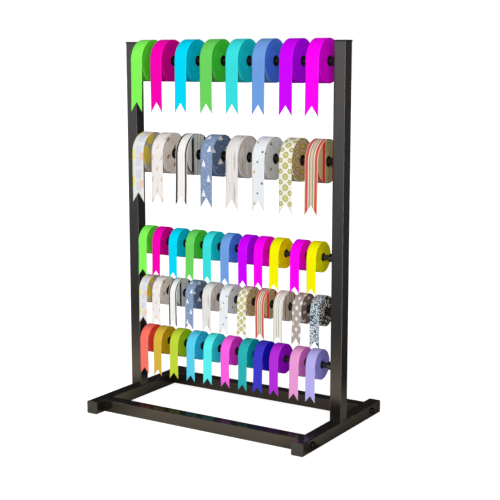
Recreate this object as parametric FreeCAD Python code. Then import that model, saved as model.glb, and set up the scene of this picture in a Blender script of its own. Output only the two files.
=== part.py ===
"""A free-standing counter rack for ribbon: rods between two uprights, with rolls of ribbon that turn on them.

X runs along the rods, to the right. Y runs from the front, where the ribbon ends hang, to the back. Z is up.
The origin is on the floor, in the middle of the base. All lengths are in millimetres.
"""

import FreeCAD, Part
import math
import os

from FreeCAD import Vector

# Square tube, used for the whole frame
TUBE = 20.0
TUBE_WALL = 1.2
TUBE_CORNER = 1.5
END_PLATE = 3.0

# Frame
INNER_WIDTH = 360.0  # between the inner faces of the uprights
FOOT_LENGTH = 250.0  # the tube alone, without its end plugs
RAIL_INSET = 28.0  # from the end of a foot's tube to the middle of a cross rail

# Caps and plugs
TOP_CAP_THICKNESS = 2.5
TOP_CAP_OVERHANG = 0.7
FOOT_PLUG_FLANGE = 2.0
PLUG_DEPTH = 10.0
PLUG_CLEARANCE = 0.15

# Bolts
BOLT_RADIUS = 3.0
BOLT_HEAD_RADIUS = 5.25
BOLT_HEAD_HEIGHT = 3.3
BOLT_HEAD_ROUNDING = 2.0
BOLT_OVERRUN = 4.0  # past the threaded plate
HEX_SOCKET = 4.0  # across its flats
HEX_SOCKET_DEPTH = 2.0
BOLT_HOLE_CLEARANCE = 0.3
THREAD_CLEARANCE = 0.05
KEY_HOLE_CLEARANCE = 0.75  # round a bolt head, where it goes in through the foot's underside

# Rods and their sockets
ROD_RADIUS = 4.0
ROD_CHAMFER = 0.6
ROD_REACH = 3.5  # past an upright's inner face, when the rod lies in the middle
ROD_CLEARANCE = 0.08
SOCKET_WALL = 2.4
SOCKET_LENGTH = 7.2

# Heights of the rods, from the bottom tier up
BOTTOM_ROD_RISE = 82.7  # from the top of the feet to the bottom rod
RISE_5_TO_4 = 84.4
RISE_4_TO_3 = 82.5
RISE_3_TO_2 = 144.7
RISE_2_TO_1 = 147.1
TOP_MARGIN = 27.7  # from the top rod to the top of the uprights' tubes

# Rolls of ribbon
RIBBON_THICKNESS = 0.4
WRAP_CLEARANCE = 0.3  # between a turning roll and the wrap that hangs down as its loose end
WRAP_ANGLE = 120.0  # how far the loose end's wrap goes back over its roll, in degrees
CORE_PLAY = 0.5  # between a rod and the bore of a core
LARGE_WIDTH = 22.0
LARGE_RADIUS = 33.5
LARGE_CORE_WALL = 3.9
SMALL_WIDTH = 16.0
SMALL_RADIUS = 24.0
SMALL_CORE_WALL = 2.1

# Loose ends, measured down from the axis of their roll
SATIN_DROP = 80.5
PRINT_DROP = 78.7
SMALL_DROP = 55.7
SMALL_PRINT_DROP = 53.6
LARGE_NOTCH = 16.0
SMALL_NOTCH = 10.5
NOTCH_TIP = 0.3  # width left at each point of the swallowtail

# How the rolls of a tier share the free length of their rod: a gap from socket to roll, then one from each roll
# to the next, and one from roll to socket. The first roll is pushed to the left, and the last ones are uneven.
LARGE_START_GAP = 0.5
LARGE_PUSHED_GAP = 16.5
LARGE_GAP = 25.3
LARGE_LAST_GAP = 22.3
LARGE_END_GAP = 4.2
SMALL_START_GAP = 3.2
SMALL_PUSHED_GAP = 11.4
SMALL_GAP = 17.2
SMALL_CLOSE_GAP = 12.5
SMALL_WIDE_GAP = 20.3
SMALL_END_GAP = 11.3
EVEN_START_GAP = 2.6
EVEN_PUSHED_GAP = 10.8
EVEN_GAP = 17.1
EVEN_LAST_GAP = 15.0
EVEN_END_GAP = 4.8
LARGE_GAPS = [LARGE_START_GAP, LARGE_PUSHED_GAP] + 5 * [LARGE_GAP] + [LARGE_LAST_GAP, LARGE_END_GAP]
SMALL_GAPS = [SMALL_START_GAP, SMALL_PUSHED_GAP] + 5 * [SMALL_GAP]
SMALL_GAPS += [SMALL_CLOSE_GAP, SMALL_CLOSE_GAP, SMALL_WIDE_GAP, SMALL_CLOSE_GAP, SMALL_END_GAP]
EVEN_GAPS = [EVEN_START_GAP, EVEN_PUSHED_GAP] + 8 * [EVEN_GAP] + [EVEN_LAST_GAP, EVEN_END_GAP]

SATINS = ["lime", "hot_pink", "cyan", "green", "turquoise", "periwinkle", "violet", "fuchsia"]
PRINTS = [
    "pastel_patches",
    "peach_sprigs",
    "black_edge",
    "denim_triangles",
    "grey_streaks",
    "tiny_dots",
    "olive_dots",
    "coral_stripes",
]
SMALL_PRINTS = PRINTS + ["beige_stripes", "taupe_lattice", "slate_mottle"]
SMALL_SATINS = SATINS + ["yellow", "fuchsia", "yellow"]
DEEP_SATINS = [
    "coral",
    "mustard",
    "yellow_green",
    "sky_blue",
    "aqua",
    "orchid",
    "teal",
    "royal_blue",
    "purple",
    "light_pink",
    "lavender",
]

# What follows from the driving dimensions
INNER_FACE = INNER_WIDTH / 2
TUBE_CENTRE = INNER_FACE + TUBE / 2
OUTER_FACE = INNER_FACE + TUBE
RAIL_Y = FOOT_LENGTH / 2 - RAIL_INSET
SOCKET_RADIUS = ROD_RADIUS + SOCKET_WALL
SOCKET_BORE = ROD_RADIUS + ROD_CLEARANCE
CORE_BORE = ROD_RADIUS + CORE_PLAY
THREAD_RADIUS = BOLT_RADIUS + THREAD_CLEARANCE
BOLT_HOLE_RADIUS = BOLT_RADIUS + BOLT_HOLE_CLEARANCE

TIER_5 = TUBE + BOTTOM_ROD_RISE
TIER_4 = TIER_5 + RISE_5_TO_4
TIER_3 = TIER_4 + RISE_4_TO_3
TIER_2 = TIER_3 + RISE_3_TO_2
TIER_1 = TIER_2 + RISE_2_TO_1
UPRIGHT_TOP = TIER_1 + TOP_MARGIN

X_AXIS = Vector(1, 0, 0)
Y_AXIS = Vector(0, 1, 0)
Z_AXIS = Vector(0, 0, 1)


class Size:
    """One size of ribbon roll."""

    def __init__(self, width, radius, core_wall, notch):
        self.width = width
        self.radius = radius
        self.core_radius = CORE_BORE + core_wall
        self.notch = notch


class Tier:
    """One rod and the rolls on it, from left to right."""

    def __init__(self, number, height, size, drop, gaps, ribbons):
        self.number = number
        self.height = height
        self.size = size
        self.drop = drop
        self.gaps = gaps
        self.ribbons = ribbons

    def roll_centres(self):
        free = INNER_WIDTH - 2 * SOCKET_LENGTH - len(self.ribbons) * self.size.width
        scale = free / sum(self.gaps)
        centres = []
        x = SOCKET_LENGTH - INNER_FACE - self.size.width / 2
        for gap in self.gaps[:-1]:
            x += gap * scale + self.size.width
            centres.append(x)
        return centres


LARGE = Size(LARGE_WIDTH, LARGE_RADIUS, LARGE_CORE_WALL, LARGE_NOTCH)
SMALL = Size(SMALL_WIDTH, SMALL_RADIUS, SMALL_CORE_WALL, SMALL_NOTCH)
TIERS = [
    Tier(1, TIER_1, LARGE, SATIN_DROP, LARGE_GAPS, SATINS),
    Tier(2, TIER_2, LARGE, PRINT_DROP, LARGE_GAPS, PRINTS),
    Tier(3, TIER_3, SMALL, SMALL_DROP, SMALL_GAPS, SMALL_SATINS),
    Tier(4, TIER_4, SMALL, SMALL_PRINT_DROP, EVEN_GAPS, SMALL_PRINTS),
    Tier(5, TIER_5, SMALL, SMALL_DROP, SMALL_GAPS, DEEP_SATINS),
]


def rounded_square(width, radius):
    """A square face about the origin in the XY plane, with rounded corners."""
    half = width / 2
    flat = half - radius
    middle = radius * math.sqrt(0.5)
    edges = []
    for quarter in range(4):
        turn = FreeCAD.Rotation(Z_AXIS, 90.0 * quarter)
        side_start = turn.multVec(Vector(half, -flat, 0))
        side_end = turn.multVec(Vector(half, flat, 0))
        corner_middle = turn.multVec(Vector(flat + middle, flat + middle, 0))
        corner_end = turn.multVec(Vector(flat, half, 0))
        edges.append(Part.LineSegment(side_start, side_end).toShape())
        edges.append(Part.Arc(side_end, corner_middle, corner_end).toShape())
    return Part.Face(Part.Wire(edges))


def bar(start, direction, length, width, radius):
    """A solid square bar with rounded long edges, from the middle of its end."""
    solid = rounded_square(width, radius).extrude(Vector(0, 0, length))
    solid.Placement = FreeCAD.Placement(start, FreeCAD.Rotation(Z_AXIS, direction))
    return solid


def box_about(centre, x, y, z):
    """A box with the given sides, about its centre."""
    return Part.makeBox(x, y, z, centre - Vector(x, y, z) * 0.5)


def along_x(radius, x, y, z, length):
    """A cylinder along +X that starts at x, y, z."""
    return Part.makeCylinder(radius, length, Vector(x, y, z), X_AXIS)


def sides():
    """The left side, then the right one."""
    return (-1, 1)


def upright(side):
    x = side * TUBE_CENTRE
    length = UPRIGHT_TOP - TUBE
    solid = bar(Vector(x, 0, TUBE), Z_AXIS, length, TUBE, TUBE_CORNER)
    inside = TUBE - 2 * TUBE_WALL
    hollow = length - END_PLATE
    solid = solid.cut(box_about(Vector(x, 0, UPRIGHT_TOP - hollow / 2), inside, inside, hollow))
    solid = solid.cut(Part.makeCylinder(THREAD_RADIUS, END_PLATE, Vector(x, 0, TUBE), Z_AXIS))
    for tier in TIERS:
        wall_start = side * (INNER_FACE + TUBE_WALL / 2) - TUBE_WALL
        solid = solid.cut(along_x(SOCKET_BORE, wall_start, 0, tier.height, 2 * TUBE_WALL))
    return solid


def rod_socket(side, height):
    mouth = side * (INNER_FACE - SOCKET_LENGTH / 2) - SOCKET_LENGTH / 2
    collar = along_x(SOCKET_RADIUS, mouth, 0, height, SOCKET_LENGTH)
    return collar.cut(along_x(SOCKET_BORE, mouth, 0, height, SOCKET_LENGTH))


def uprights():
    """Both uprights, each with its five rod sockets as solids of their own."""
    solids = []
    for side in sides():
        solids.append(upright(side))
        for tier in TIERS:
            solids.append(rod_socket(side, tier.height))
    return solids


def side_foot(side):
    x = side * TUBE_CENTRE
    solid = bar(Vector(x, -FOOT_LENGTH / 2, TUBE / 2), Y_AXIS, FOOT_LENGTH, TUBE, TUBE_CORNER)
    inside = TUBE - 2 * TUBE_WALL
    solid = solid.cut(box_about(Vector(x, 0, TUBE / 2), inside, FOOT_LENGTH, inside))
    for rail_y in (-RAIL_Y, RAIL_Y):
        solid = solid.cut(along_x(BOLT_HOLE_RADIUS, x - TUBE / 2, rail_y, TUBE / 2, TUBE))
    solid = solid.cut(Part.makeCylinder(BOLT_HOLE_RADIUS, TUBE / 2, Vector(x, 0, TUBE / 2), Z_AXIS))
    key_hole = BOLT_HEAD_RADIUS + KEY_HOLE_CLEARANCE
    return solid.cut(Part.makeCylinder(key_hole, TUBE / 2, Vector(x, 0, 0), Z_AXIS))


def side_feet():
    return [side_foot(side) for side in sides()]


def cross_rail(rail_y):
    solid = bar(Vector(-INNER_FACE, rail_y, TUBE / 2), X_AXIS, INNER_WIDTH, TUBE, TUBE_CORNER)
    inside = TUBE - 2 * TUBE_WALL
    hollow = INNER_WIDTH - 2 * END_PLATE
    solid = solid.cut(box_about(Vector(0, rail_y, TUBE / 2), hollow, inside, inside))
    return solid.cut(along_x(THREAD_RADIUS, -INNER_FACE, rail_y, TUBE / 2, INNER_WIDTH))


def cross_rails():
    return [cross_rail(-RAIL_Y), cross_rail(RAIL_Y)]


def plug_stem(start, direction):
    """The square stem of a plug, which fills the end of a tube."""
    width = TUBE - 2 * TUBE_WALL - 2 * PLUG_CLEARANCE
    return bar(start, direction, PLUG_DEPTH, width, TUBE_CORNER)


def top_cap(side):
    seat = Vector(side * TUBE_CENTRE, 0, UPRIGHT_TOP)
    width = TUBE + 2 * TOP_CAP_OVERHANG
    plate = bar(seat, Z_AXIS, TOP_CAP_THICKNESS, width, TUBE_CORNER + TOP_CAP_OVERHANG)
    return plate.fuse(plug_stem(seat, -Z_AXIS))


def foot_plug(side, end):
    seat = Vector(side * TUBE_CENTRE, end * FOOT_LENGTH / 2, TUBE / 2)
    flange = bar(seat, Y_AXIS * end, FOOT_PLUG_FLANGE, TUBE, TUBE_CORNER)
    return flange.fuse(plug_stem(seat, Y_AXIS * -end))


def end_caps():
    caps = []
    for side in sides():
        caps.append(top_cap(side))
        caps.append(foot_plug(side, -1))
        caps.append(foot_plug(side, 1))
    return caps


def hexagon(across_flats, depth):
    """A hexagonal prism up from the origin."""
    corner = across_flats / math.sqrt(3)
    turns = [math.radians(60 * k) for k in range(7)]
    points = [Vector(corner * math.cos(turn), corner * math.sin(turn), 0) for turn in turns]
    return Part.Face(Part.makePolygon(points)).extrude(Vector(0, 0, depth))


def button_head_bolt(seat, direction, grip):
    """A bolt whose head sits on seat. Its shank runs along direction, through grip and a little past it."""
    head = Part.makeCylinder(BOLT_HEAD_RADIUS, BOLT_HEAD_HEIGHT)
    crown = [edge for edge in head.Edges if edge.BoundBox.ZMin > BOLT_HEAD_HEIGHT / 2]
    head = head.makeFillet(BOLT_HEAD_ROUNDING, crown)
    socket = hexagon(HEX_SOCKET, HEX_SOCKET_DEPTH)
    socket.translate(Vector(0, 0, BOLT_HEAD_HEIGHT - HEX_SOCKET_DEPTH))
    shank = Part.makeCylinder(BOLT_RADIUS, grip + BOLT_OVERRUN, Vector(0, 0, 0), -Z_AXIS)
    bolt = head.cut(socket).fuse(shank)
    bolt.Placement = FreeCAD.Placement(seat, FreeCAD.Rotation(Z_AXIS, direction * -1))
    return bolt


def frame_bolts():
    bolts = []
    for side in sides():
        for rail_y in (-RAIL_Y, RAIL_Y):
            seat = Vector(side * OUTER_FACE, rail_y, TUBE / 2)
            bolts.append(button_head_bolt(seat, X_AXIS * -side, TUBE + END_PLATE))
        seat = Vector(side * TUBE_CENTRE, 0, TUBE - TUBE_WALL)
        bolts.append(button_head_bolt(seat, Z_AXIS, TUBE_WALL + END_PLATE))
    return bolts


def rod(tier):
    half = INNER_FACE + ROD_REACH
    solid = along_x(ROD_RADIUS, -half, 0, tier.height, 2 * half)
    rims = [edge for edge in solid.Edges if edge.BoundBox.XLength < ROD_RADIUS]
    return solid.makeChamfer(ROD_CHAMFER, rims)


def ring(outer, inner, x, height, width):
    """A ring about the rod's axis, centred on x."""
    solid = along_x(outer, x - width / 2, 0, height, width)
    return solid.cut(along_x(inner, x - width / 2, 0, height, width))


def roll(tier, x):
    """A core and the ribbon wound on it, which turn together."""
    size = tier.size
    wound_radius = size.radius - RIBBON_THICKNESS - WRAP_CLEARANCE
    core = ring(size.core_radius, CORE_BORE, x, tier.height, size.width)
    winding = ring(wound_radius, size.core_radius, x, tier.height, size.width)
    return [core, winding]


def on_wrap(tier, x, radius, degrees):
    """A point on a roll's outside, turned up from its front."""
    turn = math.radians(degrees)
    return Vector(x, -radius * math.cos(turn), tier.height + radius * math.sin(turn))


def ribbon_tail(tier, x):
    """The loose end: over the top of the roll, straight down in front of it, and cut to a swallowtail."""
    size = tier.size
    start = x - size.width / 2
    outer = size.radius
    inner = size.radius - RIBBON_THICKNESS
    tip = tier.height - tier.drop
    front_outer, middle_outer, back_outer = [
        on_wrap(tier, start, outer, turn) for turn in (0, WRAP_ANGLE / 2, WRAP_ANGLE)
    ]
    front_inner, middle_inner, back_inner = [
        on_wrap(tier, start, inner, turn) for turn in (0, WRAP_ANGLE / 2, WRAP_ANGLE)
    ]
    tip_outer = Vector(start, -outer, tip)
    tip_inner = Vector(start, -inner, tip)
    edges = [
        Part.LineSegment(tip_outer, front_outer).toShape(),
        Part.Arc(front_outer, middle_outer, back_outer).toShape(),
        Part.LineSegment(back_outer, back_inner).toShape(),
        Part.Arc(back_inner, middle_inner, front_inner).toShape(),
        Part.LineSegment(front_inner, tip_inner).toShape(),
        Part.LineSegment(tip_inner, tip_outer).toShape(),
    ]
    strip = Part.Face(Part.Wire(edges)).extrude(Vector(size.width, 0, 0))
    return strip.cut(swallowtail_notch(x, -outer, tip, size))


def swallowtail_notch(x, front, tip, size):
    """The wedge that the scissors took out of a loose end, through its thickness."""
    half = size.width / 2 - NOTCH_TIP
    front -= RIBBON_THICKNESS
    corners = [
        Vector(x - half, front, tip),
        Vector(x + half, front, tip),
        Vector(x, front, tip + size.notch),
        Vector(x - half, front, tip),
    ]
    return Part.Face(Part.makePolygon(corners)).extrude(Vector(0, 3 * RIBBON_THICKNESS, 0))


def ribbon_tails():
    return [ribbon_tail(tier, x) for tier in TIERS for x in tier.roll_centres()]


def export(name, solids):
    shape = solids[0] if len(solids) == 1 else Part.makeCompound(solids)
    shape.exportStep(f"parts/{name}.step")
    volume = sum(solid.Volume for solid in solids) / 1000
    print(f"{name}: {len(shape.Solids)} solids, {volume:.2f} cm3, valid {shape.isValid()}")


def main():
    os.makedirs("parts", exist_ok=True)
    export("uprights", uprights())
    export("side_feet", side_feet())
    export("cross_rails", cross_rails())
    export("end_caps", end_caps())
    export("frame_bolts", frame_bolts())
    export("ribbon_tails", ribbon_tails())
    for tier in TIERS:
        export(f"tier{tier.number}_rod", [rod(tier)])
        for place, (ribbon, x) in enumerate(zip(tier.ribbons, tier.roll_centres()), start=1):
            export(f"tier{tier.number}_roll{place:02d}_{ribbon}", roll(tier, x))
            print(f"  centre {x:.1f}, {tier.height:.1f}")


main()
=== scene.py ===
# %% [markdown]
# # A counter rack with rolls of ribbon
# The rack is a welded and bolted frame of square steel tube. Five thin rods cross it, and 49 rolls of ribbon
# turn on them. Each roll lets one loose end hang over its front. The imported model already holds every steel
# piece at its real size, so this lesson gives those pieces a finish and grows the soft ones, the rolls and
# the loose ends, around the same axes.

# %% Load the frame
import bmesh
import bpy
import math
import random
import re
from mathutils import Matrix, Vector


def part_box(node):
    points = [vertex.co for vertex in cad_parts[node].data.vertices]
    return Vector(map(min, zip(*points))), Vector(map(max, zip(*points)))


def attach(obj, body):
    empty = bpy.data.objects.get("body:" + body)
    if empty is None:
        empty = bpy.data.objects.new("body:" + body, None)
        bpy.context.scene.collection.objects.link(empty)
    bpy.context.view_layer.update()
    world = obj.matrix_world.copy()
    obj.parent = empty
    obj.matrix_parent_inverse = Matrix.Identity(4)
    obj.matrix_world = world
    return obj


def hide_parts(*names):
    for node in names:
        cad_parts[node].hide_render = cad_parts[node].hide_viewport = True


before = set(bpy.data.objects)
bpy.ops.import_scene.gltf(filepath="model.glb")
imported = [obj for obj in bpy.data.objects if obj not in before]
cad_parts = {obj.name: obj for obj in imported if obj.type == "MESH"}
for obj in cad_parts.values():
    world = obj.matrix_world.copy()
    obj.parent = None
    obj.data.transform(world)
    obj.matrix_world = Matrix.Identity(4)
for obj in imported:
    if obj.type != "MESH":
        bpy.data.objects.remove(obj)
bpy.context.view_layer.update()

MM = 0.001
scene = bpy.context.scene
print("nodes in the frame:", len(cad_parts))

# %% [markdown]
# ## The view
# A tall, thin thing is pictured from a little way off with a long lens, so that its uprights stay nearly
# parallel. The camera stands to the right of the rack, at the height of its top rod, and looks slightly down.
# Its place is in metres, its angles in degrees, and its lens and sensor in millimetres.

# %% Camera
EYE = (0.96773, -1.49697, 0.56189)
PITCH = 80.586
HEADING = 32.04
LENS = 82.26
SENSOR = 36.0
FAR_CLIP = 100.0

camera = bpy.data.objects.new("camera", bpy.data.cameras.new("camera"))
camera.location = EYE
camera.rotation_euler = (math.radians(PITCH), 0, math.radians(HEADING))
camera.data.lens = LENS
camera.data.sensor_width = SENSOR
camera.data.clip_end = FAR_CLIP
scene.collection.objects.link(camera)
scene.camera = camera

# %% [markdown]
# ## Writing materials as sums
# A pattern is arithmetic on two numbers: how far along the ribbon a point lies, and how far across it.
# Joining Math nodes by hand hides that arithmetic, so a small class wraps a socket and lets `+`, `-`, `*`,
# `/`, `<` and `>` add the nodes. The same class serves Geometry Nodes, because both kinds of tree share their
# Math node.

# %% Values and trees
def joined_by(operation, swapped=False):
    """A method that joins a Value and another number with one Math node."""

    def method(self, other):
        return self.tree.math(operation, *((other, self) if swapped else (self, other)))

    return method


class Value:
    """A number in a node tree. Arithmetic on it adds Math nodes."""

    def __init__(self, tree, socket):
        self.tree = tree
        self.socket = socket

    def __abs__(self):
        return self.tree.math("ABSOLUTE", self)

    __add__ = joined_by("ADD")
    __radd__ = joined_by("ADD", True)
    __sub__ = joined_by("SUBTRACT")
    __rsub__ = joined_by("SUBTRACT", True)
    __mul__ = joined_by("MULTIPLY")
    __rmul__ = joined_by("MULTIPLY", True)
    __truediv__ = joined_by("DIVIDE")
    __rtruediv__ = joined_by("DIVIDE", True)
    __lt__ = joined_by("LESS_THAN")
    __gt__ = joined_by("GREATER_THAN")


class Tree:
    """A node tree that is written as expressions."""

    def __init__(self, group):
        self.group = group

    def add(self, kind, settings=None, sockets=None):
        """Adds a node. settings are its own properties, and sockets are values or links by name or number."""
        node = self.group.nodes.new(kind)
        for name, value in (settings or {}).items():
            setattr(node, name, value)
        for name, value in (sockets or {}).items():
            self.set_socket(self.find(node.inputs, name), value)
        return node

    def find(self, sockets, name):
        """The socket with this number, or the one in use with this name."""
        if isinstance(name, int):
            return sockets[name]
        return next(s for s in sockets if s.enabled and name in (s.name, s.identifier))

    def set_socket(self, socket, value):
        """Links a value to a socket, or types a constant into it."""
        if isinstance(value, Value):
            self.group.links.new(value.socket, socket)
        elif isinstance(value, bpy.types.NodeSocket):
            self.group.links.new(value, socket)
        else:
            socket.default_value = value

    def math(self, operation, *values):
        node = self.add("ShaderNodeMath", {"operation": operation}, dict(enumerate(values)))
        return Value(self, node.outputs[0])

    def clamped(self, value):
        node = self.add("ShaderNodeClamp", None, {"Value": value})
        return Value(self, node.outputs[0])

    def least(self, a, b):
        return self.math("MINIMUM", a, b)

    def most(self, a, b):
        return self.math("MAXIMUM", a, b)

    def spread(self, share, low, high):
        """Stretches a share from 0 to 1, so that it runs from low to high."""
        return share * (high - low) + low

    def ramp(self, value, start, end):
        """A straight slope from 0 at start to 1 at end, level beyond both. end may be the smaller one."""
        return self.clamped((value - start) / (end - start))

    def split(self, vector):
        node = self.add("ShaderNodeSeparateXYZ", None, {0: vector})
        return [Value(self, out) for out in node.outputs]

    def join(self, x, y, z):
        return self.add("ShaderNodeCombineXYZ", None, {0: x, 1: y, 2: z}).outputs[0]

    def noise(self, vector, scale, detail=2.0):
        node = self.add("ShaderNodeTexNoise", None, {"Vector": vector, "Scale": scale, "Detail": detail})
        return Value(self, node.outputs[0])


# %% [markdown]
# ## A recipe for a finish
# Every finish here ends in one Principled shader, so a recipe starts with it and offers what the finishes
# share: mixing a colour in under a mask, and turning a height into a bump. Constants go straight onto the
# shader's sockets.

# %% The recipe class
def from_screen(red, green, blue):
    """Linear colour from the 0 to 255 numbers that a paint chart gives."""
    chart = [value / 255 for value in (red, green, blue)]
    return tuple(v / 12.92 if v <= 0.04045 else ((v + 0.055) / 1.055) ** 2.4 for v in chart)


class Finish(Tree):
    """A material with one Principled shader."""

    def __init__(self, name, roughness, specular=0.5):
        self.material = bpy.data.materials.new(name)
        self.material.use_nodes = True
        super().__init__(self.material.node_tree)
        self.group.nodes.clear()
        constants = {"Roughness": roughness, "Specular IOR Level": specular}
        self.shader = self.add("ShaderNodeBsdfPrincipled", None, constants)
        output = self.add("ShaderNodeOutputMaterial")
        self.group.links.new(self.shader.outputs[0], output.inputs["Surface"])

    def put(self, name, value):
        """Gives one of the shader's own sockets a constant or a link."""
        self.set_socket(self.shader.inputs[name], value)

    def place(self):
        """Object coordinates, in metres."""
        return self.add("ShaderNodeTexCoord").outputs["Object"]

    def cloth(self):
        """The ribbon's own coordinates, in metres: up along it, and across it from its middle."""
        return self.split(self.add("ShaderNodeUVMap", {"uv_map": "cloth"}).outputs[0])[:2]

    def mix(self, mask, below, above):
        """Paints the colour above over the colour below, where mask is 1."""
        sockets = {"Factor_Float": mask, "A_Color": self.colour(below), "B_Color": self.colour(above)}
        node = self.add("ShaderNodeMix", {"data_type": "RGBA"}, sockets)
        return self.find(node.outputs, "Result_Color")

    def colour(self, value):
        """Adds the alpha that a colour socket wants to a constant colour."""
        return (*value, 1) if isinstance(value, tuple) else value

    def shade(self, colour, amount):
        """Multiplies a colour by a number."""
        scaled = self.add("ShaderNodeVectorMath", {"operation": "SCALE"}, {0: colour, "Scale": amount})
        return scaled.outputs[0]

    def paint(self, colour):
        self.put("Base Color", self.colour(colour))

    def glow(self, colour):
        self.put("Emission Color", self.colour(colour))

    def emboss(self, height, depth):
        """Raises the surface where height is large. depth is in metres."""
        bump = self.add("ShaderNodeBump", None, {"Strength": 1.0, "Distance": depth, "Height": height})
        self.put("Normal", bump.outputs[0])

    def surface(self, pattern, colour, roughness, depth):
        """Paints a colour, and lets one pattern from 0 to 1 vary the roughness and raise the surface."""
        self.paint(colour)
        self.put("Roughness", self.spread(pattern, *roughness))
        self.emboss(pattern, depth)
        return self.material

    def texture(self, pattern, colour, shades, roughness, depth):
        """Lets the pattern shade the colour too."""
        shaded = self.shade(colour, self.spread(pattern, *shades))
        return self.surface(pattern, shaded, roughness, depth)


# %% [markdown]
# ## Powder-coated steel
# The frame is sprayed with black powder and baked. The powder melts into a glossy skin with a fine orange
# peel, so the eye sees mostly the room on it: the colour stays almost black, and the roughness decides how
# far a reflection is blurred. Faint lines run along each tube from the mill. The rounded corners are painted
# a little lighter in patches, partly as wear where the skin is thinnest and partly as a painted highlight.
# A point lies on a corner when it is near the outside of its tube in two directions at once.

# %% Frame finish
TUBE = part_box("side_feet")[1][2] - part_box("side_feet")[0][2]
UPRIGHT_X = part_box("uprights")[1][0] - TUBE / 2
RAIL_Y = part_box("cross_rails")[1][1] - TUBE / 2
print("tube:", round(TUBE / MM, 1), "mm")

COAT = from_screen(19, 17, 16)
DUSTY_COAT = from_screen(24, 21, 16)
# The colour of the corners: partly wear, partly a painted highlight along each corner.
WORN_AND_HIGHLIGHT_COAT = from_screen(96, 93, 88)
SOCKET_COAT = from_screen(16, 15, 14)
WARM_SHEEN = (1.0, 0.95, 0.93, 1.0)
CORNER_BAND = 1.5 * MM
SOCKET_MARGIN = 0.1 * MM
WORN_AND_HIGHLIGHT_SHARE = 0.4
GLOSSIEST = 0.12
PEEL_DEPTH = 0.03 * MM

# How many waves of each pattern a metre holds.
CLOUDS = 18.0
SMUDGES = 35.0
WORN_AND_HIGHLIGHT_PATCHES = 60.0
MILL_LINES = 420.0
MILL_DRIFT = 3.0
ORANGE_PEEL = 900.0


def powder_coat(name, colour, across_tube):
    """across_tube gives, from x, y and z, the two distances from the tube's middle line."""
    finish = Finish(name, roughness=0.3)
    finish.put("Specular Tint", WARM_SHEEN)
    place = finish.place()
    x, y, z = finish.split(place)
    first, second = across_tube(x, y, z)
    near_corner = finish.least(abs(first), abs(second)) > TUBE / 2 - CORNER_BAND
    # Mask for the lighter corner patches, wear and a painted highlight together.
    worn_and_highlight = near_corner * finish.ramp(finish.noise(place, WORN_AND_HIGHLIGHT_PATCHES, 3.0), 0.417, 0.833)
    drawn = finish.noise(finish.join(first * MILL_LINES, second * MILL_LINES, (x + y + z) * MILL_DRIFT), 1.0)
    cloudy = finish.spread(finish.noise(place, CLOUDS), 0.8, 1.2)
    coat = finish.shade(colour, finish.spread(drawn, 0.6, 1.4) * cloudy)
    finish.paint(finish.mix(worn_and_highlight * WORN_AND_HIGHLIGHT_SHARE, coat, WORN_AND_HIGHLIGHT_COAT))
    uneven = finish.noise(place, SMUDGES) + drawn
    finish.put("Roughness", uneven * 0.06 + near_corner * 0.08 + GLOSSIEST)
    finish.emboss(finish.noise(place, ORANGE_PEEL), PEEL_DEPTH)
    return finish


def upright_coat():
    """The sockets for the rods are turned steel, blackened, and stand on the inner faces of the tubes."""
    finish = powder_coat("upright_coat", COAT, lambda x, y, z: (abs(x) - UPRIGHT_X, y))
    painted = finish.shader.inputs["Base Color"].links[0].from_socket
    x = finish.split(finish.place())[0]
    on_socket = abs(x) < UPRIGHT_X - TUBE / 2 - SOCKET_MARGIN
    finish.paint(finish.mix(on_socket, painted, SOCKET_COAT))
    return finish


def dress(node, material):
    """Gives a steel piece of the frame its finish."""
    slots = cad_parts[node].data.materials
    slots.clear()
    slots.append(material)


dress("uprights", upright_coat().material)
foot_coat = powder_coat("foot_coat", DUSTY_COAT, lambda x, y, z: (abs(x) - UPRIGHT_X, z - TUBE / 2))
dress("side_feet", foot_coat.material)
rail_coat = powder_coat("rail_coat", DUSTY_COAT, lambda x, y, z: (abs(y) - RAIL_Y, z - TUBE / 2))
dress("cross_rails", rail_coat.material)

# %% [markdown]
# ## Rods, caps and bolts
# The rods are the same dark steel, but the cores of the rolls rub them. So their scratches run round them,
# and their coat has lost some of its gloss. Caps are moulded from black plastic, and the plugs in the feet
# from a grey one in the coat's warm hue, lighter partly as a painted reflection of the floor. Both keep a
# faint grain from the mould. Bolt heads are black oxide, with turning marks.

# %% Rod finish
ROD_COAT = from_screen(20, 18, 17)
RUBBED_ROD = from_screen(70, 64, 58)
RUBBED_SHARE = 0.5
SCRATCHES_ALONG = 900.0
SCRATCHES_ROUND = 20.0
SCRATCH_DEPTH = 0.03 * MM


def rubbed_rod():
    finish = Finish("rod_coat", roughness=0.4, specular=0.35)
    x, y, z = finish.split(finish.place())
    stretched = finish.join(x * SCRATCHES_ALONG, y * SCRATCHES_ROUND, z * SCRATCHES_ROUND)
    scratches = finish.noise(stretched, 1.0)
    rubbed = finish.ramp(scratches, 0.525, 0.775) * RUBBED_SHARE
    coat = finish.mix(rubbed, ROD_COAT, RUBBED_ROD)
    return finish.surface(scratches, coat, (0.25, 0.55), SCRATCH_DEPTH)


rod_material = rubbed_rod()
rods = [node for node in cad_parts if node.endswith("_rod")]
for node in rods:
    dress(node, rod_material)
print(len(rods), "rods")

# %% Plastic and bolt finishes
CAP_PLASTIC = from_screen(18, 18, 18)
# Lighter than the coat, partly as a painted reflection of the floor.
PLUG_PLASTIC_AND_REFLECTION = from_screen(54, 51, 46)
PLUGS_BELOW = 2 * TUBE
MOULD_GRAIN = 1600.0
GRAIN_DEPTH = 0.04 * MM
BLACK_OXIDE = from_screen(14, 13, 12)
TURNING_MARKS = 700.0
MARK_DEPTH = 0.02 * MM


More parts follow.
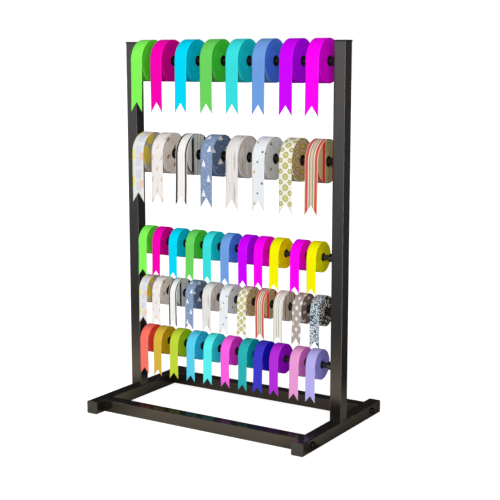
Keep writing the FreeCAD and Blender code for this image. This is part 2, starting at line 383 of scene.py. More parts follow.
def moulded_plastic():
    """The height tells the caps on the uprights from the plugs in the feet."""
    finish = Finish("cap_plastic", roughness=0.55, specular=0.3)
    place = finish.place()
    grain = finish.noise(place, MOULD_GRAIN, 1.0)
    on_plug = finish.split(place)[2] < PLUGS_BELOW
    # The plugs get the lighter grey, which is partly a painted reflection.
    plastic = finish.mix(on_plug, CAP_PLASTIC, PLUG_PLASTIC_AND_REFLECTION)
    return finish.texture(grain, plastic, (0.75, 1.25), (0.5, 0.65), GRAIN_DEPTH)


def black_oxide():
    finish = Finish("bolt_oxide", roughness=0.35, specular=0.15)
    marks = finish.noise(finish.place(), TURNING_MARKS, 3.0)
    return finish.texture(marks, BLACK_OXIDE, (0.7, 1.3), (0.25, 0.5), MARK_DEPTH)


dress("end_caps", moulded_plastic())
dress("frame_bolts", black_oxide())

# %% [markdown]
# ## What the rolls are called and where they sit
# A node's name says its tier, its place on the rod and its ribbon, and its box says where the axis runs, how
# wide the ribbon is and how far out it is wound. Everything below reads from that list, so no place is typed
# twice.

# %% The list of rolls
class Roll:
    """One roll of ribbon, read from the frame."""

    def __init__(self, node):
        words = re.fullmatch(r"(tier(\d)_roll\d\d)_(\w+)", node)
        low, high = (Vector(corner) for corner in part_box(node))
        self.node = node
        self.body = words.group(1)
        self.tier = int(words.group(2))
        self.ribbon = words.group(3)
        self.centre = (low + high) / 2
        self.width = high.x - low.x
        self.wound = (high.z - low.z) / 2
        self.large = self.tier <= 2


rolls = [Roll(node) for node in sorted(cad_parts) if "_roll" in node]
print(len(rolls), "rolls,", sum(roll.large for roll in rolls), "of them large")

# %% [markdown]
# ## Satin
# Satin ribbon is woven so that its long threads lie on top. That gives a smooth face with very fine lines
# along the ribbon and strong, flat colour, and a firm selvedge down each edge, which is painted a little
# lighter as a painted highlight. Dyes this strong leave little room for white highlights, so the specular
# level is low. Threads that lie low get a slight painted shade, and some threads run in long streaks of
# lighter or darker dye.

# %% Satin face
WEAVE_DEPTH = 0.03 * MM
THREADS_ALONG = 250.0
THREADS_ACROSS = 9000.0
STREAKS_ALONG = 9.0
STREAK_WIDTH = 0.7 * MM
SELVEDGE = 0.9 * MM
SELVEDGE_HEIGHT = 0.4
# How strongly the selvedge's painted highlight shows, and how much lighter it is than the ribbon.
SELVEDGE_HIGHLIGHT_SHARE = 0.5
SELVEDGE_HIGHLIGHT_GAIN = 1.3
SELVEDGE_HIGHLIGHT_WHITE = 0.015
# Weights of the painted shade on low threads and of the dye streaks, and the darkest shade.
SATIN_THREAD_SHADE_AND_DYE = (0.08, 0.22, 0.86)


def on_selvedge(across, half_width):
    """1 on the firm edges of the ribbon."""
    return abs(across) > half_width - SELVEDGE


def weave(finish, along, across, half_width):
    """Long threads and the selvedge, as one height from 0 to 1."""
    threads = finish.noise(finish.join(along * THREADS_ALONG, across * THREADS_ACROSS, 0.0), 1.0, 1.0)
    return threads * (1 - SELVEDGE_HEIGHT) + on_selvedge(across, half_width) * SELVEDGE_HEIGHT


def threaded(finish, along, across, height, colour, shades):
    """Darkens a colour where its threads lie low, as a painted shade, and in streaks of threads that took
    more or less dye.
    """
    painted_thread_shade, by_streak, darkest = shades
    streaks = finish.noise(finish.join(along * STREAKS_ALONG, across / STREAK_WIDTH, 0.0), 1.0, 1.0)
    # Low threads get a painted shade, and the raised selvedge comes out a little lighter, a painted
    # highlight.
    return finish.shade(colour, height * painted_thread_shade + streaks * by_streak + darkest)


def selvedge_highlight_colour(colour):
    """The colour of the painted highlight: a thin bright line along the selvedge."""
    return tuple(min(v * SELVEDGE_HIGHLIGHT_GAIN + SELVEDGE_HIGHLIGHT_WHITE, 1.0) for v in colour)


def ribbon_finish(name):
    """Cloth with little gloss, and how far along and across it a point lies."""
    finish = Finish(name, roughness=0.55, specular=0.03)
    return finish, *finish.cloth()


def satin_face(name, colour, half_width):
    finish, along, across = ribbon_finish(name + "_face")
    height = weave(finish, along, across, half_width)
    dyed = threaded(finish, along, across, height, colour, SATIN_THREAD_SHADE_AND_DYE)
    # The selvedge is painted lighter, a painted highlight along each edge.
    edge = on_selvedge(across, half_width) * SELVEDGE_HIGHLIGHT_SHARE
    return finish.surface(height, finish.mix(edge, dyed, selvedge_highlight_colour(colour)), (0.42, 0.62), WEAVE_DEPTH)


# %% [markdown]
# ## The wound side
# From the side a roll shows the edges of all its turns, hundreds of thin rings that are never quite flush.
# Rings are a function of the distance from the axis alone. Where a few turns slipped together they make a
# longer arc, lighter or darker than the rest, so a second noise follows the radius and, more slowly, the
# direction. Light that enters between the turns meets dyed cloth several times, which makes every colour
# deeper and purer than on the face.

# %% Satin side
RING_PITCH = 0.5 * MM
ARC_PITCH = 1.7 * MM
ARC_SHARE = 0.65
RING_DEPTH = 0.12 * MM
DEEPENING = 1.5
SATIN_SIDE_SHADES = (0.27, 1.67)
SIDE_ROUGHNESS = (0.5, 0.7)


def wound_rings(finish, along, across):
    """Rings about the axis and the arcs among them, from 0 to 1."""
    radius = finish.math("SQRT", along * along + across * across)
    fine = finish.noise(finish.join(radius / RING_PITCH, 0.0, 0.0), 1.0, 1.0)
    arcs = finish.noise(finish.join(radius / ARC_PITCH, along / radius, across / radius), 1.0)
    return fine * (1 - ARC_SHARE) + arcs * ARC_SHARE


def deeper(colour):
    """The colour of light that met the same dye more than once, as bright as before."""
    strongest = max(colour)
    return tuple((v / strongest) ** DEEPENING * strongest for v in colour)


def satin_side(name, colour):
    finish, along, across = ribbon_finish(name + "_side")
    rings = wound_rings(finish, along, across)
    return finish.texture(rings, deeper(colour), SATIN_SIDE_SHADES, SIDE_ROUGHNESS, RING_DEPTH)


# %% Satin colours
SATIN_COLOURS = {
    "lime": (134, 250, 93),
    "hot_pink": (253, 0, 180),
    "cyan": (0, 220, 254),
    "green": (109, 215, 96),
    "turquoise": (58, 227, 226),
    "periwinkle": (114, 162, 228),
    "violet": (209, 0, 254),
    "fuchsia": (254, 0, 248),
    "yellow": (250, 244, 0),
    "coral": (254, 118, 102),
    "mustard": (218, 184, 64),
    "yellow_green": (194, 216, 60),
    "sky_blue": (90, 210, 242),
    "aqua": (90, 243, 241),
    "orchid": (254, 98, 230),
    "teal": (41, 180, 183),
    "royal_blue": (63, 57, 202),
    "purple": (182, 46, 220),
    "light_pink": (237, 156, 215),
    "lavender": (183, 176, 240),
}

# %% [markdown]
# ## Printed ribbon
# The prints are drawn in the ribbon's own proportions: `along` and `across` are divided by its width, so one
# design serves both widths. Stripes are bands of `across`. Motifs repeat in cells, and a point's place in its
# cell comes from the fractional part. Each design is a function that is given its paints, and its numbers
# are in widths of the ribbon.

# %% Shapes that the prints are made of
def nearest(tree, value, period, start):
    """How far value lies from the nearest of start, start + period, and so on, both ways."""
    return tree.math("FRACT", (value - start) / period + 0.5) * period - period / 2


def motif(tree, along, across, middle, start, period, columns=1.0):
    """x and y from the nearest of the motifs, which repeat each period along and each columns across."""
    return nearest(tree, across, columns, middle), nearest(tree, along, period, start)


def staggered(tree, along, across, step, period, start):
    """x and y from the motifs of two sets of columns, the second set half a period further on."""
    even = motif(tree, along, across, 0.0, start, period, 2 * step)
    odd = motif(tree, along, across, step, start + period / 2, period, 2 * step)
    return even, odd


def band(across, middle, width):
    """1 inside a stripe."""
    return abs(across - middle) < width / 2


def oval(x, y, width, height):
    """1 inside an oval."""
    x = x / (width / 2)
    y = y / (height / 2)
    return x * x + y * y < 1.0


def block(x, y, width, height):
    """1 inside a rectangle."""
    return (abs(x) < width / 2) * (abs(y) < height / 2)


def peak(x, y, width, height):
    """1 inside a triangle that stands on its base."""
    return (abs(x) < (0.5 - y / height) * (width / 2)) * (abs(y) < height / 2)


# %% Patches and sprigs
def pastel_patches(finish, along, across, paints):
    colour, pale, peach, lemon = paints
    for middle, start, period, width, height, paint in (
        (0.05, 0.3, 0.9, 0.46, 0.66, pale),
        (0.31, -0.2, 2.0, 0.38, 0.55, peach),
        (-0.4, -0.08, 2.0, 0.2, 0.78, lemon),
    ):
        x, y = motif(finish, along, across, middle, start, period)
        colour = finish.mix(block(x, y, width, height), colour, paint)
    return colour


def wide_blots(finish, along, across, paints):
    """What the patches become on the wound side: tall, rounded blots."""
    colour, blot = paints
    wobble = finish.noise(finish.join(along, across * 3, 0.0), 2.0, 1.0) * 0.2
    for middle, start in ((-0.46, -0.15), (-0.23, 1.75)):
        x, y = motif(finish, along, across, middle, start, 4.6)
        colour = finish.mix(oval(x + wobble, y, 0.42, 1.8), colour, blot)
    return colour


def peach_sprigs(finish, along, across, paints):
    colour, leaf, stem = paints
    for x, y in staggered(finish, along, across, 0.4, 1.55, 0.57):
        colour = finish.mix(oval(x - 0.02, y - 0.06, 0.17, 0.26), colour, leaf)
        colour = finish.mix(oval(x + 0.03, y + 0.1, 0.11, 0.2), colour, stem)
    return colour


# %% Stripes
def striped(finish, across, ground, stripes):
    """stripes lists middle, width and colour, and each is drawn on both sides of the middle line."""
    colour = ground
    for middle, width, paint in stripes:
        colour = finish.mix(band(abs(across), middle, width), colour, paint)
    return colour


def black_edge(finish, along, across, paints):
    ground, beige, ink = paints
    return striped(finish, across, ground, [(0.1, 0.04, beige), (0.26, 0.03, beige), (0.39, 0.145, ink)])


def coral_stripes(finish, along, across, paints):
    ground, sage, coral, peach, rust = paints
    stripes = [(0.12, 0.12, sage), (0.345, 0.19, coral), (0.47, 0.06, peach), (0.0, 0.03, rust)]
    return striped(finish, across, ground, stripes)


def beige_stripes(finish, along, across, paints):
    ground, brown, beige, grey = paints
    stripes = [(0.1, 0.07, brown), (0.26, 0.05, beige), (0.41, 0.1, grey), (0.58, 0.07, brown)]
    return striped(finish, across, ground, stripes)


def grey_streaks(finish, along, across, paints):
    """Fine streaks, and dark dashes with fainter ends."""
    ground, faint, dark = paints
    threads = finish.noise(finish.join(along * 0.6, across * 14, 0.0), 1.0)
    colour = finish.mix(finish.ramp(threads, 0.44, 0.64), ground, faint)
    x, y = motif(finish, along, across, 0.23, -0.18, 2.27)
    dash = oval(x, y, 0.2, 1.5) * 0.25 + oval(x, y, 0.1, 0.9) * 0.3
    return finish.mix(dash, colour, dark)


# %% Scattered motifs
def denim_triangles(finish, along, across, paints):
    """White triangles on cross threads, the thickest of which are nearly white."""
    dark, light, white = paints
    fibre = finish.noise(finish.join(along * 24, across * 3, 0.0), 1.0)
    colour = finish.mix(finish.ramp(fibre, 1 / 3, 2 / 3), dark, light)
    colour = finish.mix(finish.ramp(fibre, 0.6333, 0.7167) * 0.6, colour, white)
    for middle, start in ((-0.22, -0.41), (0.2, -1.47)):
        x, y = motif(finish, along, across, middle, start, 2.12, 0.88)
        colour = finish.mix(peak(x, y, 0.34, 0.52), colour, white)
    return colour


def tiny_dots(finish, along, across, paints):
    colour, slate, navy, gold, rust = paints
    for middle, start, size, paint in (
        (-0.05, -0.15, 0.17, slate),
        (0.3, -1.6, 0.17, navy),
        (-0.31, -0.78, 0.15, gold),
        (-0.31, -0.88, 0.15, rust),
    ):
        x, y = motif(finish, along, across, middle, start, 2.16)
        colour = finish.mix(oval(x, y, size, size), colour, paint)
    return colour


def olive_dots(finish, along, across, paints):
    """Hand-stamped dots, whose ink lies thin in places."""
    colour, outline, fill = paints
    hatch = finish.ramp(finish.noise(finish.join(along, across, 0.0), 9.0), 0.48, 0.68) * 0.5
    places = staggered(finish, along, across, 0.36, 0.74, 0.44)
    for (x, y), size in zip(places, (0.44, 0.33)):
        colour = finish.mix(oval(x, y, size, size), colour, outline)
        inside = oval(x, y, size - 0.09, size - 0.09)
        colour = finish.mix(inside, colour, finish.mix(hatch, fill, outline))
    return colour


def taupe_lattice(finish, along, across, paints):
    colour, pale = paints
    for x, y in staggered(finish, along, across, 0.42, 1.04, 0.3):
        colour = finish.mix(oval(x, y, 0.29, 0.38), colour, pale)
    return colour


# %% A net of cells
CELLS_IN_A_WIDTH = 5.4


def cells(finish, along, across, gap, paints):
    """Cells of uneven shape, and between them a net that is gap wide on each side of its line."""
    cell, net = paints
    sockets = {"Vector": finish.join(along, across, 0.0), "Scale": CELLS_IN_A_WIDTH}
    edges = finish.add("ShaderNodeTexVoronoi", {"feature": "DISTANCE_TO_EDGE"}, sockets)
    return finish.mix(Value(finish, edges.outputs["Distance"]) < gap, cell, net)


def slate_net(finish, along, across, paints):
    return cells(finish, along, across, 0.13, paints)


def cream_specks(finish, along, across, paints):
    return cells(finish, along * 0.55, across * 1.3, 0.17, paints)


# %% [markdown]
# ## From a design to two materials
# Each print has one design and one set of paints for its face, and another for its wound side, where ink and
# shade run together. White prints turn grey or tan there, and the darkest ones are almost black. A side is a
# print that was wound up, so its motifs are spread out across and pressed together along.

# %% The table of prints
PRINTS = {
    "pastel_patches": (
        (pastel_patches, (236, 234, 229), (218, 221, 236), (242, 210, 192), (242, 236, 124)),
        (wide_blots, (184, 181, 171), (236, 210, 82)),
    ),
    "peach_sprigs": (
        (peach_sprigs, (244, 238, 234), (238, 216, 202), (206, 182, 162)),
        (peach_sprigs, (250, 236, 226), (198, 162, 132), (146, 112, 88)),
    ),
    "black_edge": (
        (black_edge, (254, 252, 249), (224, 218, 209), (60, 58, 58)),
        (black_edge, (240, 238, 230), (196, 188, 172), (48, 48, 50)),
    ),
    "denim_triangles": (
        (denim_triangles, (110, 132, 170), (158, 179, 210), (246, 248, 252)),
        (denim_triangles, (82, 100, 132), (120, 140, 172), (255, 250, 244)),
    ),
    "grey_streaks": (
        (grey_streaks, (240, 236, 233), (216, 212, 207), (158, 156, 154)),
        (grey_streaks, (240, 232, 223), (190, 176, 164), (140, 127, 117)),
    ),
    "tiny_dots": (
        (tiny_dots, (238, 241, 244), (138, 152, 168), (92, 106, 126), (230, 204, 158), (206, 166, 126)),
        (tiny_dots, (230, 236, 237), (112, 122, 132), (76, 86, 100), (208, 178, 126), (160, 118, 82)),
    ),
    "olive_dots": (
        (olive_dots, (245, 241, 224), (156, 149, 98), (212, 210, 134)),
        (olive_dots, (214, 192, 166), (124, 110, 62), (228, 212, 98)),
    ),
    "coral_stripes": (
        (coral_stripes, (250, 234, 212), (166, 166, 128), (212, 88, 84), (250, 190, 158), (170, 94, 72)),
        (coral_stripes, (206, 206, 150), (176, 182, 128), (255, 64, 56), (250, 190, 150), (150, 84, 60)),
    ),
    "beige_stripes": (
        (beige_stripes, (252, 250, 243), (136, 124, 112), (196, 193, 172), (204, 202, 184)),
        (beige_stripes, (244, 230, 208), (84, 66, 52), (176, 150, 122), (120, 98, 78)),
    ),
    "taupe_lattice": (
        (taupe_lattice, (176, 163, 157), (240, 237, 236)),
        (taupe_lattice, (136, 114, 106), (226, 212, 204)),
    ),
    "slate_mottle": (
        (slate_net, (236, 242, 247), (54, 76, 98)),
        (cream_specks, (255, 250, 240), (70, 66, 60)),
    ),
}
print(len(PRINTS), "prints")

# %% Print finishes
# Weights of the painted shade on low threads and of the dye streaks, and the darkest shade.
PRINT_THREAD_SHADE_AND_DYE = (0.1, 0.1, 0.9)
PRINT_SIDE_SHADES = (0.45, 1.45)
SIDE_STRETCH = 2.0
SIDE_SQUEEZE = 0.8


def inked(design, *charts):
    """A design and its paints."""
    return design, [from_screen(*chart) for chart in charts]


def printed_face(name, design, paints, width):
    finish, along, across = ribbon_finish(name + "_face")
    height = weave(finish, along, across, width / 2)
    printed = design(finish, along / width, across / width, paints)
    shaded = threaded(finish, along, across, height, printed, PRINT_THREAD_SHADE_AND_DYE)
    return finish.surface(height, shaded, (0.5, 0.7), WEAVE_DEPTH)


def printed_side(name, design, paints, width):
    finish, along, across = ribbon_finish(name + "_side")
    rings = wound_rings(finish, along, across)
    printed = design(finish, along / (SIDE_SQUEEZE * width), across / (SIDE_STRETCH * width), paints)
    return finish.texture(rings, printed, PRINT_SIDE_SHADES, SIDE_ROUGHNESS, RING_DEPTH)


# %% The materials of a roll
made_ribbons = {}


def make_ribbon(roll):
    """The face and side materials of a roll."""
    name = roll.ribbon + ("_wide" if roll.large else "_narrow")
    if roll.ribbon in SATIN_COLOURS:
        colour = from_screen(*SATIN_COLOURS[roll.ribbon])
        return satin_face(name, colour, roll.width / 2), satin_side(name, colour)
    face, side = PRINTS[roll.ribbon]
    return printed_face(name, *inked(*face), roll.width), printed_side(name, *inked(*side), roll.width)


def ribbon_materials(roll):
    """The same two materials, shared by all rolls of one ribbon and width."""
    key = (roll.ribbon, roll.large)
    if key not in made_ribbons:
        made_ribbons[key] = make_ribbon(roll)
    return made_ribbons[key]


# %% [markdown]
# ## Growing the rolls
# A roll is a closed ring with four walls: the left side, the face, the right side and the bore. One flat grid
# can wrap round all four. Its width runs once round the axis and its height runs once round the ring's own
# section, so two short formulas give the radius and the place along the rod. The sides get a little
# unevenness that depends on the radius alone, as in a real roll whose turns have slipped. The same tree makes
# the plastic core.

# %% A tree that grows a mesh
class Growth(Tree):
    """A Geometry Nodes tree that makes one mesh about a centre, from numbers and materials by name."""

    def __init__(self, name, numbers, materials):
        group = bpy.data.node_groups.new(name, "GeometryNodeTree")
        inputs = {"Centre": "NodeSocketVector"}
        inputs.update(dict.fromkeys(numbers, "NodeSocketFloat"))
        inputs.update(dict.fromkeys(materials, "NodeSocketMaterial"))
        for label, kind in inputs.items():
            group.interface.new_socket(name=label, in_out="INPUT", socket_type=kind)
        group.interface.new_socket(name="Geometry", in_out="OUTPUT", socket_type="NodeSocketGeometry")
        super().__init__(group)
        self.given = {socket.name: socket for socket in self.add("NodeGroupInput").outputs}

    def number(self, label):
        """One of the numbers, to calculate with."""
        return Value(self, self.given[label])

    def grid(self, columns, rows):
        """A flat sheet one metre wide and long about the origin, and the x and y of its points."""
        sizes = {"Size X": 1.0, "Size Y": 1.0, "Vertices X": columns + 1, "Vertices Y": rows + 1}
        sheet = self.add("GeometryNodeMeshGrid", None, sizes).outputs["Mesh"]
        x, y, _ = self.split(self.add("GeometryNodeInputPosition").outputs[0])
        return sheet, x, y

    def pass_on(self, mesh, kind, sockets=None, settings=None):
        """Hands the mesh to another node, and returns what comes out."""
        return self.add(kind, settings, {"Geometry": mesh, **(sockets or {})}).outputs[0]

    def store(self, mesh, name, value, data_type, domain):
        settings = {"data_type": data_type, "domain": domain}
        return self.pass_on(mesh, "GeometryNodeStoreNamedAttribute", {"Name": name, "Value": value}, settings)

    def bend(self, mesh, place):
        """Moves each point to its place about the centre."""
        sockets = {0: place, 1: self.given["Centre"]}
        moved = self.add("ShaderNodeVectorMath", {"operation": "ADD"}, sockets).outputs[0]
        return self.pass_on(mesh, "GeometryNodeSetPosition", {"Position": moved})

    def set_material(self, mesh, label, where=True):
        sockets = {"Material": self.given[label], "Selection": where}
        return self.pass_on(mesh, "GeometryNodeSetMaterial", sockets)

    def end(self, mesh):
        """Sends the mesh out, and returns the finished tree."""
        self.group.links.new(mesh, self.add("NodeGroupOutput").inputs[0])
        return self.group


# %% The ring tree
AROUND = 72
WALLS = 4
ROWS_PER_WALL = 9
NEAR_RIM = 0.02
SLIPPED_TURNS = 900.0
SLIP_GAIN = 4.0
SEAM = 0.01 * MM


def ring_tree():
    """A ring about the X direction, whose faces point outwards."""
    numbers = ["Inner radius", "Outer radius", "Width", "Unevenness", "Seed"]
    tree = Growth("wound_ring", numbers, ["Face material", "Side material"])
    inner = tree.number("Inner radius")
    outer = tree.number("Outer radius")
    ring, grid_x, grid_y = tree.grid(AROUND, WALLS * ROWS_PER_WALL)
    turn = (grid_x + 0.5) * math.tau
    wall = (grid_y + 0.5) * WALLS

    # wall runs from 0 to 4: left side, face, right side, bore. out is 0 at the bore and 1 at the face, and
    # across is -0.5 on the left side and 0.5 on the right one.
    out = tree.clamped(tree.least(wall, 3.0 - wall))
    across = tree.clamped(tree.least(wall - 1.0, 4.0 - wall)) - 0.5
    radius = inner + (outer - inner) * out
    slip = tree.noise(tree.join(radius * SLIPPED_TURNS, tree.number("Seed"), 0.0), 1.0, 1.0) - 0.5
    on_side = (out > NEAR_RIM) * (out < 1 - NEAR_RIM)
    x = across * tree.number("Width") + slip * on_side * across * tree.number("Unevenness") * SLIP_GAIN
    y = tree.math("COSINE", turn) * radius * -1.0
    z = tree.math("SINE", turn) * radius

    # A whole quad belongs to one wall, so its corners are told apart by the wall of its middle.
    middle = tree.add("GeometryNodeFieldOnDomain", {"domain": "FACE"}, {"Value": wall})
    middle = Value(tree, middle.outputs[0])
    on_face = (middle > 1.0) * (middle < 2.0)
    along_cloth = on_face * (turn * radius) + (1.0 - on_face) * z
    across_cloth = on_face * x + (1.0 - on_face) * y
    ring = tree.store(ring, "cloth", tree.join(along_cloth, across_cloth, 0.0), "FLOAT2", "CORNER")
    ring = tree.store(ring, "outer_wall", on_face, "BOOLEAN", "FACE")

    ring = tree.bend(ring, tree.join(x, y, z))
    ring = tree.pass_on(ring, "GeometryNodeMergeByDistance", {"Distance": SEAM})
    ring = tree.pass_on(ring, "GeometryNodeRealizeInstances")
    kept = tree.add("GeometryNodeInputNamedAttribute", {"data_type": "BOOLEAN"}, {"Name": "outer_wall"})
    ring = tree.set_material(ring, "Side material")
    return tree.end(tree.set_material(ring, "Face material", tree.find(kept.outputs, "Attribute")))


wound_ring = ring_tree()
print("ring tree:", len(wound_ring.nodes), "nodes")

# %% [markdown]
# ## From a tree to a mesh
# A modifier only draws its result. To keep it, the object is evaluated and the outcome is copied into a plain
# mesh. Faces are smooth but the rims stay sharp, and every closed shell has its faces turned outwards.

# %% Keeping what a tree makes
SHARP_ANGLE = 40.0


def applied(piece):
    """The plain mesh that a piece's modifiers make."""
    depsgraph = bpy.context.evaluated_depsgraph_get()
    return bpy.data.meshes.new_from_object(piece.evaluated_get(depsgraph), depsgraph=depsgraph)


def grown(name, group, sizes):
    """Runs a tree with these sizes and returns a plain mesh."""
    host = bpy.data.objects.new(name, bpy.data.meshes.new(name))
    scene.collection.objects.link(host)
    modifier = host.modifiers.new("growth", "NODES")
    modifier.node_group = group
    for item in group.interface.items_tree:
        if item.in_out == "INPUT":
            modifier[item.identifier] = sizes[item.name]
    bpy.context.view_layer.update()
    mesh = applied(host)
    bpy.data.objects.remove(host)
    return mesh


def solid_object(name, meshes):
    """One object from closed shells, with outward faces, smooth walls and sharp rims."""
    shell = bmesh.new()
    materials = []
    for mesh in meshes:
        start = len(shell.faces)
        shell.from_mesh(mesh)
        shell.faces.ensure_lookup_table()
        for face in shell.faces[start:]:
            material = mesh.materials[face.material_index]
            if material not in materials:
                materials.append(material)
            face.material_index = materials.index(material)
            face.smooth = True
    bmesh.ops.recalc_face_normals(shell, faces=shell.faces)
    whole = bpy.data.meshes.new(name)
    shell.to_mesh(whole)
    shell.free()
    for material in materials:
        whole.materials.append(material)
    whole.set_sharp_from_angle(angle=math.radians(SHARP_ANGLE))
    piece = bpy.data.objects.new(name, whole)
    scene.collection.objects.link(piece)
    return piece


# %% [markdown]
# ## The core
# The core is a short tube of black plastic, a loose fit on its rod, with a soft shine and faint rings.

# %% Core finish and core sizes
CORE_BLACK = from_screen(9, 9, 9)
CORE_RING_DEPTH = 0.04 * MM
CORE_RADIUS = {True: 8.4 * MM, False: 6.6 * MM}
CORE_BORE = 4.5 * MM
CORE_SHORTER = 0.4 * MM
CORE_CLEARANCE = 0.02 * MM


def core_plastic():
    finish = Finish("core_plastic", roughness=0.5, specular=0.1)
    rings = wound_rings(finish, *finish.cloth())
    return finish.texture(rings, CORE_BLACK, (0.6, 1.4), (0.32, 0.52), CORE_RING_DEPTH)


core_material = core_plastic()


# %% Make every roll
SIDE_UNEVENNESS = 0.35 * MM


def grown_ring(roll, inner, outer, width, face, side, unevenness=0.0, seed=0.0):
    """The mesh of a ring about the roll's axis. A moulded one is even."""
    sizes = {
        "Centre": roll.centre,
        "Inner radius": inner,
        "Outer radius": outer,
        "Width": width,
        "Unevenness": unevenness,
        "Seed": seed,
        "Face material": face,
        "Side material": side,
    }
    return grown(roll.body + "_wound", wound_ring, sizes)


def make_roll(roll, number):
    inner = CORE_RADIUS[roll.large]
    face, side = ribbon_materials(roll)
    ribbon = grown_ring(roll, inner, roll.wound, roll.width, face, side, SIDE_UNEVENNESS, float(number))
    core_width = roll.width - CORE_SHORTER
    core = grown_ring(roll, CORE_BORE, inner - CORE_CLEARANCE, core_width, core_material, core_material)
    piece = solid_object(roll.body + "_wound", [ribbon, core])
    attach(piece, roll.body)
    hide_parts(roll.node)
    "ribbon_" + roll.ribbon
    return piece


wound = [make_roll(roll, number) for number, roll in enumerate(rolls)]
print("faces in one large roll:", len(wound[0].data.polygons))

# %% [markdown]
# ## The loose ends
# The last turn of each roll comes over the top, leaves it at the front and hangs straight down to a
# swallowtail cut. Ribbon is stiff along its width and limp along its length, so it bends in one direction
# only: the strip is a path in the plane of the roll, drawn out sideways. A free end never hangs dead
# straight, so each one gets its own small curl, sway and twist, which grow towards the tip. The cut is made
# by shortening the middle columns of the grid.

# %% The strip tree
ROWS = 44
COLUMNS = 12
WRAP_ANGLE = 120.0
EASE_ANGLE = 25.0
NOTCH_ONSET = 8.0


def strip_tree():
    """A loose ribbon end, as a sheet: over the roll from behind its top, then down in front of it."""
    numbers = ["Radius", "Lift", "Width", "Drop", "Notch", "Curl", "Sway", "Twist"]
    tree = Growth("loose_end", numbers, ["Material"])
    outer = tree.number("Radius")
    drop = tree.number("Drop")
    arc = math.radians(WRAP_ANGLE)
    ease = math.radians(EASE_ANGLE)
    strip, across, grid_y = tree.grid(COLUMNS, ROWS)
    across_cloth = across * tree.number("Width")
    share = 0.5 - grid_y

    # run is how far along the ribbon a point lies. Near the tips the middle columns are shorter.
    wrapped = outer * arc
    cut = tree.math("POWER", share, NOTCH_ONSET) * tree.number("Notch") * (1.0 - abs(across) * 2.0)
    run = share * (wrapped + drop) - cut
    angle = tree.most(arc - run / outer, 0.0)
    fall = tree.most(run - wrapped, 0.0)

    # Its far end, behind the top of the roll, comes down to lie close on the roll.
    radius = outer - tree.number("Lift") * tree.ramp(angle, arc - ease, arc)
    hang = fall / drop
    bend = hang * hang
    x = across_cloth + tree.number("Sway") * bend
    swing = tree.number("Curl") * bend + tree.number("Twist") * hang * across
    y = tree.math("COSINE", angle) * radius * -1.0 + swing
    z = tree.math("SINE", angle) * radius - fall

    strip = tree.store(strip, "cloth", tree.join(wrapped - run, across_cloth, 0.0), "FLOAT2", "CORNER")
    strip = tree.bend(strip, tree.join(x, y, z))
    strip = tree.pass_on(strip, "GeometryNodeRealizeInstances")
    return tree.end(tree.set_material(strip, "Material"))


loose_end = strip_tree()
print("strip tree:", len(loose_end.nodes), "nodes")

# %% Make every loose end
RIBBON_THICKNESS = 0.28 * MM
WRAP_LIFT = 0.7 * MM
FAR_END_GAP = 0.08 * MM
DROP = {1: 80.5 * MM, 2: 78.7 * MM, 3: 55.7 * MM, 4: 53.6 * MM, 5: 55.7 * MM}
NOTCH = {True: 16.0 * MM, False: 10.5 * MM}
CURL = (-1.6, 1.2)
SWAY = (-0.5, 0.5)
TWIST = (-1.2, 1.2)
SEED = 49


def thicken(piece, thickness):
    """Gives a sheet its thickness, inwards from its outer face."""
    solidify = piece.modifiers.new("thickness", "SOLIDIFY")
    solidify.thickness = thickness
    solidify.offset = -1
    mesh = applied(piece)
    piece.modifiers.clear()
    piece.data = mesh


def make_loose_end(roll, chance):
    radius = roll.wound + WRAP_LIFT
    sizes = {
        "Centre": roll.centre,
        "Radius": radius,
        "Lift": WRAP_LIFT - RIBBON_THICKNESS - FAR_END_GAP,
        "Width": roll.width,
        "Drop": DROP[roll.tier],
        "Notch": NOTCH[roll.large],
        "Curl": chance.uniform(*CURL) * MM,
        "Sway": chance.uniform(*SWAY) * MM,
        "Twist": chance.uniform(*TWIST) * MM,
        "Material": ribbon_materials(roll)[0],
    }
    name = roll.body + "_loose_end"
    mesh = grown(name, loose_end, sizes)
    mesh.name = name
    for face in mesh.polygons:
        face.use_smooth = True
    piece = bpy.data.objects.new(name, mesh)
    scene.collection.objects.link(piece)
    thicken(piece, RIBBON_THICKNESS)
    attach(piece, "frame")
    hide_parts("ribbon_tails")
    "ribbon_" + roll.ribbon
    roll.body + "_wound"
    return piece


chance = random.Random(SEED)
loose_ends = [make_loose_end(roll, chance) for roll in rolls]
print(len(loose_ends), "loose ends")

# %% [markdown]
# ## The floor
# The rack stands on a plain white floor that runs out to a white room. The floor glows a little, so that
# shadows on it stay faint, and it throws no light back, so the undersides of the rolls stay dark. It is left
# out of reflections too.

# %% Floor
FLOOR_REACH = 30.0
FLOOR_WHITE = (0.94, 0.94, 0.94)
FLOOR_GLOW = 0.75


def level_square(reach, z):
    """The corners of a level square about the origin."""
    return [(-reach, -reach, z), (reach, -reach, z), (reach, reach, z), (-reach, reach, z)]


def make_plane(name, corners, finish):
    """A plane that throws no light on the rack."""
    mesh = bpy.data.meshes.new(name)
    mesh.from_pydata(corners, [], [(0, 1, 2, 3)])
    mesh.materials.append(finish.material)
    plane = bpy.data.objects.new(name, mesh)
    scene.collection.objects.link(plane)
    plane.visible_diffuse = False
    return plane


floor_finish = Finish("floor_white", roughness=0.9, specular=0.0)
floor_finish.paint(FLOOR_WHITE)
floor_finish.glow((1.0, 1.0, 1.0))
floor_finish.put("Emission Strength", FLOOR_GLOW)
floor = make_plane("floor", level_square(FLOOR_REACH, 0.0), floor_finish)
floor.visible_glossy = False

# %% [markdown]
# ## Cards for the tubes to reflect
# Glossy black paint looks flat when it has nothing to reflect. A studio puts bright cards where the camera
# doesn't see them, and these two show in reflections only. One lies just under the floor. It carries painted
# light and shade: brightest in front of the rack and between its feet, with painted shadows under the feet
# and behind the front rail, and its alpha fades towards the edges and lets the room through. The other stands
# far in front, and draws a bright line down each upright corner.

